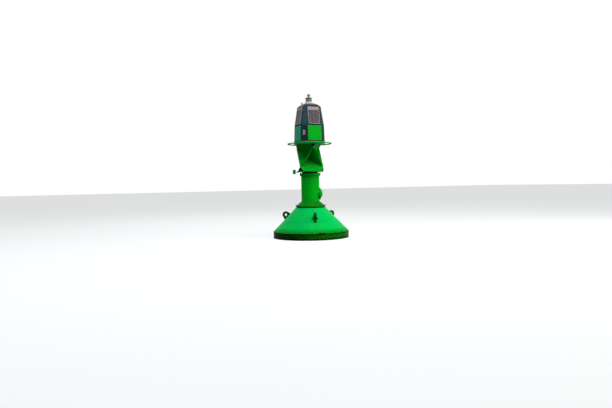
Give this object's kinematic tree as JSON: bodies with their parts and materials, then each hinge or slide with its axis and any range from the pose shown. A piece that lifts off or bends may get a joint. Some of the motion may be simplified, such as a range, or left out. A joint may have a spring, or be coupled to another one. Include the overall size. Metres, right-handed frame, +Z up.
{
  "type": "lateral light buoy",
  "caption": "Green conical-hulled light buoy with a mast, octahedral radar reflector, guard ring and tapered solar housing under a lantern.",
  "frame": {"origin": "on the waterline, on the buoy's axis", "axes": "+Z up along the mast, -Y out of number plate 1, +X a quarter turn to its right as seen from outside"},
  "size_m": [2.52, 2.5196, 8.18],
  "materials": {
    "float_green": "glossy sea-worn paint with rust runs",
    "wet_belt": "wet paint with weed and slime",
    "antifouling": "matt antifouling with growth",
    "cast_weight": "rough and rusted",
    "mast_green": "satin paint with rust at the welds",
    "shadow_steel": "dark dull paint",
    "reflector_green": "satin paint",
    "number_green": "satin, blank",
    "panel_frame": "anodised",
    "solar_cells": "glossy glass over dark cells",
    "corner_teal": "satin dark paint",
    "cabinet": "satin dark paint",
    "plinth": "weathered",
    "lantern_cream": "weathered",
    "lens": "ribbed lens, clear with a dark core",
    "lantern_dark": "weathered",
    "lantern_grey": "weathered"
  },
  "bodies": {
    "root": {"hull_belt": "wet_belt", "hull_cone": "float_green", "hull_bottom": "antifouling", "hull_flange": "mast_green", "tail_tube": "antifouling", "tail_plate": "antifouling", "counterweight": "cast_weight", "lifting_eye_1": "mast_green", "lifting_eye_2": "mast_green", "lifting_eye_3": "mast_green", "mooring_eye_1": "antifouling", "mooring_eye_2": "antifouling", "mast_foot": "mast_green", "mast_tube": "mast_green", "mast_flange": "mast_green", "hatch_neck": "mast_green", "hatch_cover": "mast_green", "mast_spigot": "shadow_steel", "reflector_base": "reflector_green", "reflector_plate_a": "reflector_green", "reflector_plate_b": "reflector_green", "reflector_plate_c": "reflector_green", "side_bracket": "mast_green", "side_post": "mast_green", "platform": "mast_green", "guard_ring": "mast_green", "housing_base": "plinth", "housing_core": "cabinet", "housing_corner_1": "corner_teal", "housing_corner_2": "corner_teal", "housing_corner_3": "corner_teal", "housing_corner_4": "corner_teal", "number_plate_1": "number_green", "number_plate_2": "number_green", "number_plate_3": "number_green", "number_plate_4": "number_green", "solar_frame_1": "panel_frame", "solar_frame_2": "panel_frame", "solar_frame_3": "panel_frame", "solar_frame_4": "panel_frame", "solar_module_1": "solar_cells", "solar_module_2": "solar_cells", "solar_module_3": "solar_cells", "solar_module_4": "solar_cells", "roof": "cabinet", "roof_eye": "shadow_steel", "lantern_base": "lantern_cream", "lantern_lens": "lens", "lantern_cap": "lantern_dark", "lantern_finial": "lantern_grey"}
  },
  "joints": []
}
